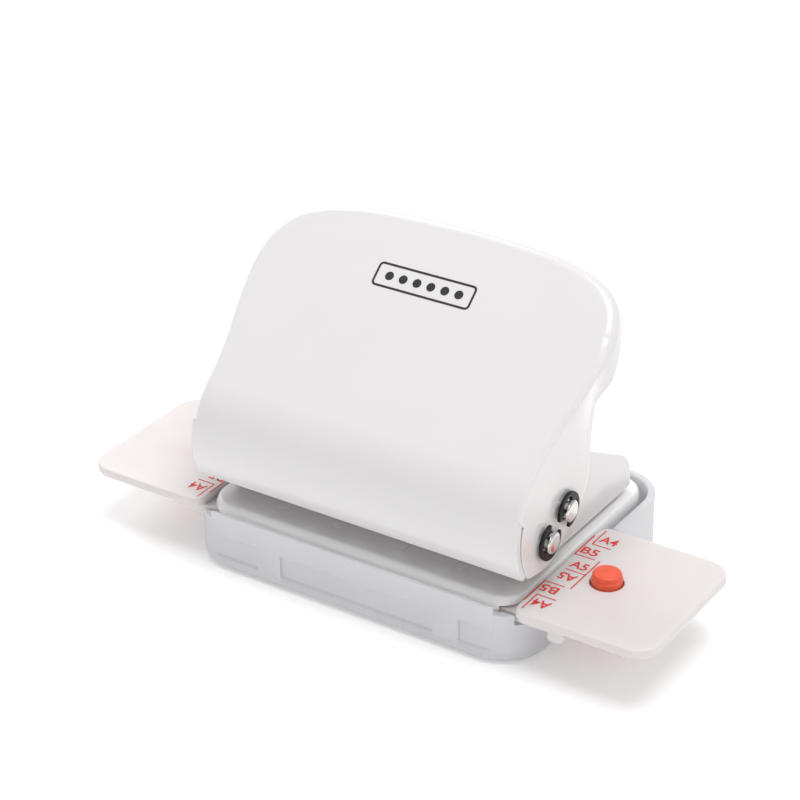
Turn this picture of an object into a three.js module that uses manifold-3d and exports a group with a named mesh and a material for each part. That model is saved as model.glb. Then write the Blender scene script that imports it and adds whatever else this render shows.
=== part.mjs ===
// Six-hole desktop paper punch for loose-leaf sheets, in millimetres, +Z up.
// X runs along the row of punches, +Y is the side where paper goes in, and the
// origin is on the table, straight below the middle of the row of punches.
import * as THREE from "three";
import { mergeVertices } from "three/addons/utils/BufferGeometryUtils.js";
import Module from "manifold-3d";

const wasm = await Module();
wasm.setup();

// ---- driving dimensions ----
const fit = 0.3; // free gap between neighbouring pieces
const pitch = 9.5; // spacing of loose-leaf holes
const punchCount = 6;
const punchRadius = 2.7;
const deck = 12; // height of the pan's top and of the guide plates

// chip tray
const trayHalf = 36;
const trayFront = -17;
const trayBack = 37;
const trayCorner = 9;
const trayWall = 1.4;
const trayFloor = 1.3;
const trayRim = deck - 0.4;
const trayRound = 2;

// base pan
const panHalf = 32.9;
const panFront = -15.2;
const panBack = 34.6;
const panCorner = 6;
const panSheet = 1.2;
const panSkirt = 5.5;
const panRound = 1.1;
const panStepY = 24;
const panBackSkirt = 2.2;

// guide frame: web over the paper slot, a foot in front, and two cheeks
const paperSlot = 1;
const frameSheet = 1.2;
const cheekOuter = 31;
const webBack = 28.5;
const paperStop = -6.2;
const footHalf = 22;
const rivetRadius = 0.8;
const rivetHead = 1.2;

// handle: a straight panel that ends in a rolled nose
const handleSheet = 1;
const noseRadius = 14;
const noseY = -1.8;
const noseZ = deck + 12;
const panelTilt = (40 * Math.PI) / 180;
const panelLength = 41.3;
const noseEnd = (-32 * Math.PI) / 180;
const lipDepth = 3.2;
const slitTop = deck + 16.1;
const slitWidth = 0.9;
const neckHalf = 34;
const flareHalf = 37;

// hinge and pressure rod
const pivotZ = deck + 8.7;
const rodY = 0.1;
const rodZ = deck + 11.9;
const pinRadius = 2;
const rodWaist = 1.5;
const grooveDepth = 0.5;
const clipRadius = 3.4;
const clipThick = 0.6;
const pressAngle = (36 * Math.PI) / 180;

// punches, their springs and the top guide
const punchTip = deck + paperSlot + 0.3;
const punchTop = deck + 19.6;
const collarThick = 0.8;
const springWire = 0.4;
const springRadius = punchRadius + fit + springWire;
const collarRadius = springRadius + 0.05;
const topGuideZ = rodZ + rodWaist + 0.3;
const topGuideHalfY = 4.6;
const sideRivetHead = 1.9;

// what follows from the sizes above
const pivotY = -(collarRadius + fit + pinRadius + 0.25);
const clipX = neckHalf + 0.1 + fit + 0.1;
const pinEnd = clipX + clipThick + 0.8;
const journalInner = cheekOuter - frameSheet;
const sideRivetZ = topGuideZ + frameSheet + sideRivetHead;
const tabTop = sideRivetZ + 1.6;
const rivetY = paperStop - frameSheet - fit - rivetHead;
const footFront = rivetY - 1.5;

// die strip under the pan
const dieHalf = 30.5;
const dieHalfY = 4.5;
const dieThick = 1.5;
const dieScrewX = 28.6;

// guide plates and their locating buttons
const plateInner = 33.3;
const plateOuter = 59.3;
const plateHalfY = 16;
const plateThick = 1.75;
const plateCornerOut = 4.5;
const plateCornerIn = 2;
const buttonX = ((punchCount - 1) / 2 + 2) * pitch;
const buttonRadius = 2.75;
const buttonHeight = 2.2;
const tongueInner = 23;
const tongueY0 = 8;
const tongueY1 = 14;
const tongueDrop = 3.6;
const pegInner = trayHalf + 3.2;
const pegOuter = pegInner + 3;
const pegThick = 1.4;
const pegDrop = 5.2;

// ---- helpers ----
function toSolid(geometry) {
  const bare = geometry.clone();
  bare.deleteAttribute("normal");
  bare.deleteAttribute("uv");
  const merged = mergeVertices(bare, 1e-5);
  return new wasm.Manifold(
    new wasm.Mesh({
      numProp: 3,
      vertProperties: new Float32Array(merged.attributes.position.array),
      triVerts: new Uint32Array(merged.index.array),
    }),
  );
}

function toGeometry(solid) {
  const mesh = solid.getMesh();
  const geometry = new THREE.BufferGeometry();
  geometry.setAttribute("position", new THREE.BufferAttribute(new Float32Array(mesh.vertProperties), 3));
  geometry.setIndex(new THREE.BufferAttribute(new Uint32Array(mesh.triVerts), 1));
  return geometry;
}

function cut(base, ...tools) {
  return tools.reduce((rest, tool) => rest.subtract(tool), base);
}

function join(base, ...others) {
  return others.reduce((whole, other) => whole.add(other), base);
}

function box(x0, x1, y0, y1, z0, z1) {
  const geometry = new THREE.BoxGeometry(x1 - x0, y1 - y0, z1 - z0);
  geometry.translate((x0 + x1) / 2, (y0 + y1) / 2, (z0 + z1) / 2);
  return toSolid(geometry);
}

function upright(x, y, z0, z1, radius, sides = 20) {
  const geometry = new THREE.CylinderGeometry(radius, radius, z1 - z0, sides);
  geometry.rotateX(Math.PI / 2);
  geometry.translate(x, y, (z0 + z1) / 2);
  return toSolid(geometry);
}

// a shape drawn with x as Y and y as Z, pushed from x0 to x1
function alongX(shape, x0, x1, curveSegments = 10) {
  const geometry = new THREE.ExtrudeGeometry(shape, { depth: x1 - x0, bevelEnabled: false, curveSegments });
  const turn = new THREE.Matrix4().makeBasis(
    new THREE.Vector3(0, 1, 0),
    new THREE.Vector3(0, 0, 1),
    new THREE.Vector3(1, 0, 0),
  );
  geometry.applyMatrix4(turn);
  geometry.translate(x0, 0, 0);
  return toSolid(geometry);
}

function roundedRect(x0, x1, y0, y1, radii) {
  const [lowLeft, lowRight, highRight, highLeft] = radii;
  const shape = new THREE.Shape();
  shape.moveTo(x0 + lowLeft, y0);
  shape.lineTo(x1 - lowRight, y0);
  shape.absarc(x1 - lowRight, y0 + lowRight, lowRight, -Math.PI / 2, 0, false);
  shape.lineTo(x1, y1 - highRight);
  shape.absarc(x1 - highRight, y1 - highRight, highRight, 0, Math.PI / 2, false);
  shape.lineTo(x0 + highLeft, y1);
  shape.absarc(x0 + highLeft, y1 - highLeft, highLeft, Math.PI / 2, Math.PI, false);
  shape.lineTo(x0, y0 + lowLeft);
  shape.absarc(x0 + lowLeft, y0 + lowLeft, lowLeft, Math.PI, 1.5 * Math.PI, false);
  return shape;
}

// a block with a rounded-rectangle plan, whose edges at z0 and z1 are rolled by round
function rolledBlock(halfX, y0, y1, corner, z0, z1, round) {
  const inner = corner - round;
  const plan = roundedRect(-halfX + round, halfX - round, y0 + round, y1 - round, [inner, inner, inner, inner]);
  const geometry = new THREE.ExtrudeGeometry(plan, {
    depth: z1 - z0 - 2 * round,
    bevelThickness: round,
    bevelSize: round,
    bevelSegments: 2,
    curveSegments: 5,
  });
  geometry.translate(0, 0, z0 + round);
  return toSolid(geometry);
}

const model = new THREE.Group();

function addPiece(name, solid, colour, roughness, metalness) {
  const material = new THREE.MeshStandardMaterial({ color: colour, roughness, metalness });
  const mesh = new THREE.Mesh(toGeometry(solid), material);
  mesh.name = name;
  model.add(mesh);
}

const paint = [0xe9e6e6, 0.3, 0.1];
const steel = [0xb9bbbd, 0.28, 1];
const blackSteel = [0x1c1c1e, 0.45, 0.8];
const milkyPlastic = [0xe4dcdc, 0.4, 0];
const frostedPlastic = [0xc8cbd0, 0.45, 0];
const coralPlastic = [0xff6e50, 0.35, 0];

const punchX = Array.from({ length: punchCount }, (_, index) => (index - (punchCount - 1) / 2) * pitch);
const sides = [
  ["left", -1],
  ["right", 1],
];

// ---- chip tray ----
function trayShell() {
  const outer = rolledBlock(trayHalf, trayFront, trayBack, trayCorner, 0, trayRim + 5, trayRound);
  const cavity = rolledBlock(
    trayHalf - trayWall,
    trayFront + trayWall,
    trayBack - trayWall,
    trayCorner - trayWall,
    trayFloor,
    trayRim + 9,
    1.2,
  );
  const lid = box(-60, 60, -60, 60, trayRim, trayRim + 20);
  const plateGap = box(-60, 60, -plateHalfY - 0.5, plateHalfY + 0.5, deck - plateThick - 0.4, deck + 5);
  const tongueGap = box(-60, 60, -tongueY1 - 0.6, tongueY1 + 0.6, deck - tongueDrop - 0.5, deck + 5);
  const tray = cut(outer, cavity, lid, plateGap, tongueGap);
  const postTop = deck - panSkirt - fit;
  const posts = [];
  for (const [, side] of sides) {
    for (const [y0, y1] of [[-11, -6.5], [18.5, 23]]) {
      const inner = side * (trayHalf - 5.4);
      const outerFace = side * (trayHalf - trayWall + 0.5);
      posts.push(box(Math.min(inner, outerFace), Math.max(inner, outerFace), y0, y1, trayFloor - 0.5, postTop));
    }
  }
  const panels = [[-31, -21.4], [-16.2, 16.2], [21.4, 31]].map(([x0, x1]) =>
    box(x0, x1, trayFront - 1, trayFront + 0.4, 2.4, 7.1),
  );
  return cut(join(tray, ...posts), ...panels);
}
addPiece("chip_tray", trayShell(), ...frostedPlastic);

// ---- base pan ----
const rivetX = [-19, -6.5, 6.5, 19];

function basePan() {
  const bottom = deck - panSkirt;
  const outer = rolledBlock(panHalf, panFront, panBack, panCorner, bottom - 5, deck, panRound);
  const hollow = rolledBlock(
    panHalf - panSheet,
    panFront + panSheet,
    panBack - panSheet,
    panCorner - panSheet,
    bottom - 9,
    deck - panSheet,
    0.6,
  );
  const below = box(-60, 60, -60, 60, bottom - 20, bottom);
  const backStep = box(-60, 60, panStepY, 60, bottom - 1, deck - panBackSkirt);
  const slots = [-1, 1].map((end) =>
    box(
      -60,
      60,
      Math.min(end * (tongueY0 - 0.4), end * (tongueY1 + 0.4)),
      Math.max(end * (tongueY0 - 0.4), end * (tongueY1 + 0.4)),
      deck - tongueDrop - 0.4,
      deck - panSheet - 0.2,
    ),
  );
  const dieHoles = punchX.map((x) => upright(x, 0, deck - 3, deck + 1, punchRadius + fit));
  const rivetHoles = rivetX.map((x) => upright(x, rivetY, deck - 3, deck + 1, rivetRadius + fit, 16));
  const screwHoles = [-dieScrewX, dieScrewX].map((x) => upright(x, 0, deck - 3, deck + 1, 1.2, 16));
  const footSlot = box(
    -footHalf - fit,
    footHalf + fit,
    paperStop - frameSheet - fit,
    paperStop + fit,
    deck - 3,
    deck + 1,
  );
  return cut(outer, hollow, below, backStep, footSlot, ...slots, ...dieHoles, ...rivetHoles, ...screwHoles);
}
addPiece("base_pan", basePan(), ...paint);

// ---- die strip and its screws ----
const dieTop = deck - panSheet - fit;
const dieBottom = dieTop - dieThick;
const dieHolesTools = punchX.map((x) => upright(x, 0, dieBottom - 1, dieTop + 1, punchRadius + fit));
const dieScrewTools = [-dieScrewX, dieScrewX].map((x) => upright(x, 0, dieBottom - 1, dieTop + 1, 1.2, 16));
const dieStrip = cut(
  box(-dieHalf, dieHalf, -dieHalfY, dieHalfY, dieBottom, dieTop),
  ...dieHolesTools,
  ...dieScrewTools,
);
addPiece("die_strip", dieStrip, ...steel);
for (const [name, side] of sides) {
  const x = side * dieScrewX;
  const head = upright(x, 0, dieBottom - fit - 1, dieBottom - fit, 2, 20);
  const shank = upright(x, 0, dieBottom - fit - 0.2, deck - 0.3, 0.9, 16);
  const drive = join(
    box(x - 1.2, x + 1.2, -0.25, 0.25, dieBottom - fit - 2, dieBottom - fit - 0.6),
    box(x - 0.25, x + 0.25, -1.2, 1.2, dieBottom - fit - 2, dieBottom - fit - 0.6),
  );
  addPiece(`die_screw_${name}`, cut(join(head, shank), drive), ...steel);
}

// ---- guide frame ----
function arcSlot() {
  const reach = Math.hypot(rodY - pivotY, rodZ - pivotZ);
  const start = Math.atan2(rodZ - pivotZ, rodY - pivotY);
  const high = start + 0.03;
  const low = start - pressAngle - 0.03;
  const half = pinRadius + fit;
  const at = (angle) => [pivotY + reach * Math.cos(angle), pivotZ + reach * Math.sin(angle)];
  const shape = new THREE.Shape();
  shape.absarc(pivotY, pivotZ, reach + half, low, high, false);
  shape.absarc(...at(high), half, high, high + Math.PI, false);
  shape.absarc(pivotY, pivotZ, reach - half, high, low, true);
  shape.absarc(...at(low), half, low + Math.PI, low + 2 * Math.PI, false);
  return alongX(shape, -40, 40, 8);
}

function pinHole(y, z) {
  const shape = new THREE.Shape();
  shape.absarc(y, z, pinRadius + fit, 0, 2 * Math.PI, false);
  return alongX(shape, -40, 40, 10);
}

function cheekShape() {
  const low = deck + paperSlot;
  const shape = new THREE.Shape();
  shape.moveTo(webBack + 1, low);
  shape.lineTo(webBack + 1.2, deck + 3.6);
  shape.quadraticCurveTo(webBack + 0.8, deck + 7.2, 25.8, deck + 9.1);
  shape.lineTo(13.2, deck + 16);
  shape.quadraticCurveTo(6, deck + 20, 1, deck + 19.4);
  shape.quadraticCurveTo(-6, deck + 18.2, -9.4, deck + 12);
  shape.quadraticCurveTo(-12, deck + 6, -9, low);
  return shape;
}

function guideFrame() {
  const low = deck + paperSlot;
  const foot = deck - panSheet - fit - frameSheet;
  const web = box(-cheekOuter, cheekOuter, paperStop - frameSheet, webBack, low, low + frameSheet);
  const apron = box(-cheekOuter, cheekOuter, paperStop - frameSheet, paperStop, deck + fit, low + frameSheet);
  const leg = box(-footHalf, footHalf, paperStop - frameSheet, paperStop, foot, low);
  const footPlate = box(-footHalf, footHalf, footFront, paperStop, foot, foot + frameSheet);
  const cheeks = sides.map(([, side]) =>
    alongX(
      cheekShape(),
      Math.min(side * cheekOuter, side * (cheekOuter - frameSheet)),
      Math.max(side * cheekOuter, side * (cheekOuter - frameSheet)),
    ),
  );
  const holes = punchX.map((x) => upright(x, 0, low - 1, low + 3, punchRadius + fit));
  const rivetHoles = rivetX.map((x) => upright(x, rivetY, foot - 1, foot + 3, rivetRadius + fit, 16));
  const tabShape = new THREE.Shape();
  tabShape.absarc(0, sideRivetZ, 1.3, 0, 2 * Math.PI, false);
  return cut(
    join(web, apron, leg, footPlate, ...cheeks),
    ...holes,
    ...rivetHoles,
    arcSlot(),
    pinHole(pivotY, pivotZ),
    alongX(tabShape, -40, 40, 8),
  );
}
addPiece("guide_frame", guideFrame(), ...paint);

function rivet(x) {
  const under = deck - panSheet - fit - frameSheet - fit;
  const shank = upright(x, rivetY, under - 0.2, deck + 0.3, rivetRadius, 16);
  const top = upright(x, rivetY, deck + 0.1, deck + 0.5, rivetHead, 20);
  const bottom = upright(x, rivetY, under - 0.6, under, rivetHead + 0.2, 20);
  return join(shank, top, bottom);
}
rivetX.forEach((x, index) => addPiece(`foot_rivet_${index + 1}`, rivet(x), ...paint));

// ---- top guide, riveted between the cheeks ----
const guideHalf = cheekOuter - frameSheet - fit;
function topGuide() {
  const plate = box(-guideHalf, guideHalf, -topGuideHalfY, topGuideHalfY, topGuideZ, topGuideZ + frameSheet);
  const tabs = sides.map(([, side]) =>
    box(
      Math.min(side * guideHalf, side * (guideHalf - frameSheet)),
      Math.max(side * guideHalf, side * (guideHalf - frameSheet)),
      -3,
      3,
      topGuideZ,
      tabTop,
    ),
  );
  const holes = punchX.map((x) => upright(x, 0, topGuideZ - 1, topGuideZ + 3, punchRadius + fit));
  const tabShape = new THREE.Shape();
  tabShape.absarc(0, sideRivetZ, 1.3, 0, 2 * Math.PI, false);
  return cut(join(plate, ...tabs), ...holes, alongX(tabShape, -40, 40, 8));
}
addPiece("top_guide", topGuide(), ...steel);

function sideRivet(side) {
  const disc = (radius, x0, x1) => {
    const shape = new THREE.Shape();
    shape.absarc(0, sideRivetZ, radius, 0, 2 * Math.PI, false);
    return alongX(shape, Math.min(side * x0, side * x1), Math.max(side * x0, side * x1), 8);
  };
  const inside = guideHalf - frameSheet - fit;
  return join(
    disc(1, inside - 0.2, cheekOuter + fit + 0.2),
    disc(sideRivetHead, inside - 0.6, inside),
    disc(sideRivetHead, cheekOuter + fit, cheekOuter + fit + 0.4),
  );
}
for (const [name, side] of sides) {
  addPiece(`guide_rivet_${name}`, sideRivet(side), ...steel);
}

// ---- handle ----
const along = new THREE.Vector2(Math.cos(panelTilt), Math.sin(panelTilt));
const outward = new THREE.Vector2(-Math.sin(panelTilt), Math.cos(panelTilt));
const bendStart = new THREE.Vector2(noseY, noseZ).addScaledVector(outward, noseRadius);
const tip = bendStart.clone().addScaledVector(along, panelLength);

function sideOutline() {
  const lipEnd = tip.clone().addScaledVector(outward, -lipDepth);
  const shape = new THREE.Shape();
  shape.absarc(noseY, noseZ, noseRadius, Math.PI - noseEnd, Math.PI / 2 + panelTilt, true);
  shape.lineTo(tip.x, tip.y);
  shape.lineTo(lipEnd.x, lipEnd.y);
  shape.splineThru([
    new THREE.Vector2(17.9, deck + 42.6),
    new THREE.Vector2(13.9, deck + 38.9),
    new THREE.Vector2(11.6, deck + 34.5),
    new THREE.Vector2(10, deck + 28.4),
    new THREE.Vector2(8.8, deck + 22),
    new THREE.Vector2(8.3, deck + 14.6),
  ]);
  shape.quadraticCurveTo(8.1, deck + 12.4, 6.2, deck + 11);
  shape.lineTo(pivotY + 3.5, pivotZ - 4.5);
  shape.quadraticCurveTo(pivotY + 1.6, pivotZ - 5.5, pivotY - 1.3, pivotZ - 5.3);
  shape.lineTo(noseY - 9.2, deck + 3.9);
  const inside = noseRadius - handleSheet;
  shape.lineTo(noseY - inside * Math.cos(noseEnd), noseZ + inside * Math.sin(noseEnd));
  return shape;
}

function sideHollow() {
  const inside = noseRadius - handleSheet;
  const far = bendStart.clone().addScaledVector(outward, -handleSheet).addScaledVector(along, panelLength + 20);
  const shape = new THREE.Shape();
  shape.absarc(noseY, noseZ, inside, 1.35 * Math.PI, Math.PI / 2 + panelTilt, true);
  shape.lineTo(far.x, far.y);
  shape.lineTo(90, far.y);
  shape.lineTo(90, deck - 20);
  shape.lineTo(noseY + inside * Math.cos(1.35 * Math.PI), deck - 20);
  return shape;
}

// the panel seen square on: x across, y along the panel from its bend
function frontOutline(inset) {
  const right = [
    [neckHalf + 0.1, -24],
    [neckHalf + 0.1, -10],
    [neckHalf, 0],
    [neckHalf + 0.2, 5],
    [neckHalf + 0.8, panelLength - 31],
    [neckHalf + 1.6, panelLength - 26.8],
    [flareHalf - 0.65, panelLength - 21],
    [flareHalf, panelLength - 16],
    [flareHalf - 0.2, panelLength - 13],
    [flareHalf - 1.2, panelLength - 9.8],
    [flareHalf - 2.6, panelLength - 7.2],
    [flareHalf - 5.1, panelLength - 4.7],
    [flareHalf - 8.2, panelLength - 3.1],
    [flareHalf - 12, panelLength - 1.9],
    [flareHalf - 21, panelLength - 0.5],
    [0, panelLength],
  ];
  const points = right.map(([x, y], index) => {
    const before = right[Math.max(index - 1, 0)];
    const after = index === right.length - 1 ? [-right[index - 1][0], right[index - 1][1]] : right[index + 1];
    const tangent = new THREE.Vector2(after[0] - before[0], after[1] - before[1]).normalize();
    return new THREE.Vector2(x - inset * tangent.y, y + inset * tangent.x);
  });
  const mirrored = points.slice(0, -1).reverse().map((point) => new THREE.Vector2(-point.x, point.y));
  const shape = new THREE.Shape();
  shape.moveTo(points[0].x, -60);
  shape.lineTo(points[0].x, points[0].y);
  shape.splineThru([...points.slice(1), ...mirrored]);
  shape.lineTo(-points[0].x, -60);
  return shape;
}

function frontPrism(inset) {
  const geometry = new THREE.ExtrudeGeometry(frontOutline(inset), {
    depth: 120,
    bevelEnabled: false,
    curveSegments: 3,
  });
  const turn = new THREE.Matrix4().makeBasis(
    new THREE.Vector3(1, 0, 0),
    new THREE.Vector3(0, along.x, along.y),
    new THREE.Vector3(0, outward.x, outward.y),
  );
  geometry.translate(0, 0, -100);
  geometry.applyMatrix4(turn);
  geometry.translate(0, bendStart.x, bendStart.y);
  return toSolid(geometry);
}

function slits() {
  const inside = noseRadius - handleSheet;
  const top = Math.asin((slitTop - noseZ) / inside);
  const shape = new THREE.Shape();
  shape.absarc(noseY, noseZ, inside, Math.PI - top, 1.35 * Math.PI, false);
  shape.absarc(noseY, noseZ, inside - slitWidth, 1.35 * Math.PI, Math.PI - top, true);
  return [alongX(shape, -45, -neckHalf + 1.6, 8), alongX(shape, neckHalf - 1.6, 45, 8)];
}

function handle() {
  const outer = alongX(sideOutline(), -50, 50, 7).intersect(frontPrism(0));
  const inner = alongX(sideHollow(), -50, 50, 7).intersect(frontPrism(handleSheet));
  return cut(outer, inner, ...slits(), pinHole(pivotY, pivotZ), pinHole(rodY, rodZ));
}
addPiece("handle", handle(), ...paint);

// ---- pivot pin and pressure rod with their clips ----
const grooveRadius = pinRadius - grooveDepth;
function pin(y, z, waist) {
  const groove0 = clipX - fit;
  const groove1 = clipX + clipThick + fit;
  const half = [
    [waist, journalInner],
    [pinRadius, journalInner],
    [pinRadius, groove0],
    [grooveRadius, groove0],
    [grooveRadius, groove1],
    [pinRadius, groove1],
    [pinRadius, pinEnd - 0.35],
    [pinRadius * 0.6, pinEnd - 0.1],
    [0, pinEnd],
  ];
  const profile = [
    ...half.slice().reverse().map(([radius, x]) => new THREE.Vector2(radius, -x)),
    ...half.map(([radius, x]) => new THREE.Vector2(radius, x)),
  ];
  const geometry = new THREE.LatheGeometry(profile, 16);
  geometry.rotateZ(-Math.PI / 2);
  geometry.translate(0, y, z);
  return toSolid(geometry);
}
addPiece("pivot_pin", pin(pivotY, pivotZ, pinRadius - 0.2), ...steel);
addPiece("pressure_rod", pin(rodY, rodZ, rodWaist), ...steel);

// an E-clip with its mouth at angle open, three prongs reach for the groove
function clip(y, z, open, side) {
  const hold = grooveRadius + fit;
  const shape = new THREE.Shape();
  const mouth = 0.62;
  shape.absarc(0, 0, clipRadius, mouth, 2 * Math.PI - mouth, false);
  shape.lineTo(hold * Math.cos(mouth + 0.3), -hold * Math.sin(mouth + 0.3));
  shape.absarc(0, 0, hold, -mouth - 0.3, -mouth - 0.75, true);
  shape.absarc(0, 0, hold + 0.8, -mouth - 0.95, -Math.PI + 0.45, true);
  shape.absarc(0, 0, hold, -Math.PI + 0.25, -Math.PI - 0.25, true);
  shape.absarc(0, 0, hold + 0.8, -Math.PI - 0.45, -2 * Math.PI + mouth + 0.95, true);
  shape.absarc(0, 0, hold, -2 * Math.PI + mouth + 0.75, -2 * Math.PI + mouth + 0.3, true);
  const geometry = new THREE.ExtrudeGeometry(shape, { depth: clipThick, bevelEnabled: false, curveSegments: 5 });
  geometry.rotateZ(open);
  const turn = new THREE.Matrix4().makeBasis(
    new THREE.Vector3(0, 1, 0),
    new THREE.Vector3(0, 0, 1),
    new THREE.Vector3(1, 0, 0),
  );
  geometry.applyMatrix4(turn);
  geometry.translate(side > 0 ? clipX : -clipX - clipThick, y, z);
  return toSolid(geometry);
}
const pivotMouth = 0.9;
const rodMouth = pivotMouth + Math.PI;
for (const [name, side] of sides) {
  addPiece(`pivot_clip_${name}`, clip(pivotY, pivotZ, pivotMouth, side), ...blackSteel);
  addPiece(`rod_clip_${name}`, clip(rodY, rodZ, rodMouth, side), ...blackSteel);
}

// ---- punches and springs ----
const notchHalf = rodWaist + 0.2;
const collarTop = rodZ - notchHalf - 0.2;
function punch(x) {
  const shank = upright(x, 0, punchTip, punchTop, punchRadius);
  const collar = upright(x, 0, collarTop - collarThick, collarTop, collarRadius);
  const notch = box(x - 6, x + 6, rodY - rodWaist - fit, 8, rodZ - notchHalf, rodZ + notchHalf);
  const hollowTip = upright(x, 0, punchTip - 1, punchTip + 0.5, punchRadius - 0.9, 20);
  return cut(join(shank, collar), notch, hollowTip);
}

function spring(x) {
  const z0 = deck + paperSlot + frameSheet + fit;
  const z1 = collarTop - collarThick - fit;
  const outer = upright(x, 0, z0, z1, springRadius, 16);
  const bore = upright(x, 0, z0 - 1, z1 + 1, springRadius - springWire, 16);
  return cut(outer, bore);
}
punchX.forEach((x, index) => {
  addPiece(`punch_${index + 1}`, punch(x), ...steel);
  addPiece(`punch_spring_${index + 1}`, spring(x), ...steel);
});

// ---- guide plates with their locating buttons ----
function guidePlate() {
  const radii = [plateCornerIn, plateCornerOut, plateCornerOut, plateCornerIn];
  const outline = roundedRect(plateInner, plateOuter, -plateHalfY, plateHalfY, radii);
  const bore = new THREE.Path();
  bore.absarc(buttonX, 0, buttonRadius + fit, 0, 2 * Math.PI, true);
  outline.holes.push(bore);
  const sheet = new THREE.ExtrudeGeometry(outline, { depth: plateThick, bevelEnabled: false, curveSegments: 8 });
  sheet.translate(0, 0, deck - plateThick);
  const under = deck - plateThick + 0.2;
  const peg = box(pegInner, pegOuter, -tongueY1, -tongueY1 + pegThick, deck - pegDrop, under);
  const tongues = [-1, 1].map((end) =>
    box(
      tongueInner,
      pegOuter - 1.2,
      Math.min(end * tongueY0, end * tongueY1),
      Math.max(end * tongueY0, end * tongueY1),
      deck - tongueDrop,
      under,
    ),
  );
  const trim = box(0, plateInner + 0.5, -60, 60, deck - plateThick, deck + 5);
  return join(cut(join(peg, ...tongues), trim), toSolid(sheet));
}

function button() {
  const flangeTop = deck - plateThick - fit;
  const profile = [
    new THREE.Vector2(0, flangeTop - 0.8),
    new THREE.Vector2(buttonRadius + 0.9, flangeTop - 0.8),
    new THREE.Vector2(buttonRadius + 0.9, flangeTop),
    new THREE.Vector2(buttonRadius, flangeTop),
    new THREE.Vector2(buttonRadius, deck + buttonHeight * 0.45),
    new THREE.Vector2(buttonRadius - 0.12, deck + buttonHeight * 0.5),
    new THREE.Vector2(buttonRadius - 0.12, deck + buttonHeight - 0.5),
    new THREE.Vector2(buttonRadius - 0.55, deck + buttonHeight - 0.05),
    new THREE.Vector2(0, deck + buttonHeight),
  ];
  const geometry = new THREE.LatheGeometry(profile, 24);
  geometry.rotateX(Math.PI / 2);
  geometry.translate(buttonX, 0, 0);
  return toSolid(geometry);
}

for (const [name, side] of sides) {
  const turn = side > 0 ? 0 : 180;
  addPiece(`guide_plate_${name}`, guidePlate().rotate([0, 0, turn]), ...milkyPlastic);
  addPiece(`locating_button_${name}`, button().rotate([0, 0, turn]), ...coralPlastic);
}

export default model;
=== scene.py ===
"""Looks of a six-hole desktop paper punch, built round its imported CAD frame, in millimetres."""
import math

import bmesh
import bpy
import numpy as np
from mathutils import Matrix, Vector


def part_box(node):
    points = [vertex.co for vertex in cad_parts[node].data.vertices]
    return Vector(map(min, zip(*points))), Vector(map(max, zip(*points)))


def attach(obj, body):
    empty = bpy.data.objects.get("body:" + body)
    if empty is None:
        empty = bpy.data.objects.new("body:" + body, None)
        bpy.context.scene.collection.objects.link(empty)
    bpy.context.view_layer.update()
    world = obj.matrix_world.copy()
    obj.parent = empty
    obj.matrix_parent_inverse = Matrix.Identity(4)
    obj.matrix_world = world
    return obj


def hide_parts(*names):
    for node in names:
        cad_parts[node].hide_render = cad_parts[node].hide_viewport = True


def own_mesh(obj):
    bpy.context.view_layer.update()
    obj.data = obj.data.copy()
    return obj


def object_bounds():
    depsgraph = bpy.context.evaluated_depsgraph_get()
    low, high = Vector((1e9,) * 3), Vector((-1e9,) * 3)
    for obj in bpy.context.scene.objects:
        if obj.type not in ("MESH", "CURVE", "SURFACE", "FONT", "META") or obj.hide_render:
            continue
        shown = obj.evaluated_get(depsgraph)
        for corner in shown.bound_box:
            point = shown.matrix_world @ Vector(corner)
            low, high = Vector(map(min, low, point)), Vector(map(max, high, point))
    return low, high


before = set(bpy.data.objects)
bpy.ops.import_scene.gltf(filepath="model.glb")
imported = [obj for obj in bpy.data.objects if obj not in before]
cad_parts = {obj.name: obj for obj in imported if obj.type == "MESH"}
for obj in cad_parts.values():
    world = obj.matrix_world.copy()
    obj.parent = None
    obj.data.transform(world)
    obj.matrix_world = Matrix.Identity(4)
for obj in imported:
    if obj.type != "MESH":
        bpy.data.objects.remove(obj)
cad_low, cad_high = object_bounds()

MM = 0.001
SIDES = (("left", -1), ("right", 1))


def corners(node):
    """Lowest and highest corner of a CAD node, in millimetres."""
    low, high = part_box(node)
    return low / MM, high / MM


# ---- sizes that the CAD source uses too ----
deck = corners("guide_plate_right")[1].z
fit = 0.3
pitch = 9.5
nose_radius = 14
nose_y = -1.8
nose_z = deck + 12
tilt = math.radians(40)
panel_length = 41.3
nose_end = math.radians(-32)
lip_depth = 3.2
sheet = 1
neck_half = 34
flare_half = 37
slit_top = deck + 16.1
slit_gap = 0.9
pivot = Vector((0, -6, deck + 8.7))
rod = Vector((0, 0.1, deck + 11.9))
pin_radius = 2
rod_waist = 1.5
side_rivet_z = deck + 16.8

# ---- mesh helpers ----


def make(name, vertices, faces, scale=MM):
    mesh = bpy.data.meshes.new(name)
    mesh.from_pydata([tuple(Vector(v) * scale) for v in vertices], [], faces)
    piece = bpy.data.objects.new(name, mesh)
    bpy.context.scene.collection.objects.link(piece)
    tidy(piece)
    return piece


def tidy(piece):
    """Merges doubles and turns every face outward."""
    work = bmesh.new()
    work.from_mesh(piece.data)
    bmesh.ops.remove_doubles(work, verts=work.verts, dist=1e-6)
    bmesh.ops.recalc_face_normals(work, faces=work.faces)
    work.to_mesh(piece.data)
    work.free()


def apply_modifiers(piece):
    depsgraph = bpy.context.evaluated_depsgraph_get()
    made = bpy.data.meshes.new_from_object(piece.evaluated_get(depsgraph))
    piece.modifiers.clear()
    piece.data = made


def bevel(piece, width, segments=3, angle=35):
    step = piece.modifiers.new("edge", "BEVEL")
    step.width = width * MM
    step.segments = segments
    step.limit_method = "ANGLE"
    step.angle_limit = math.radians(angle)
    step.miter_outer = "MITER_ARC"
    apply_modifiers(piece)


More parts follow.
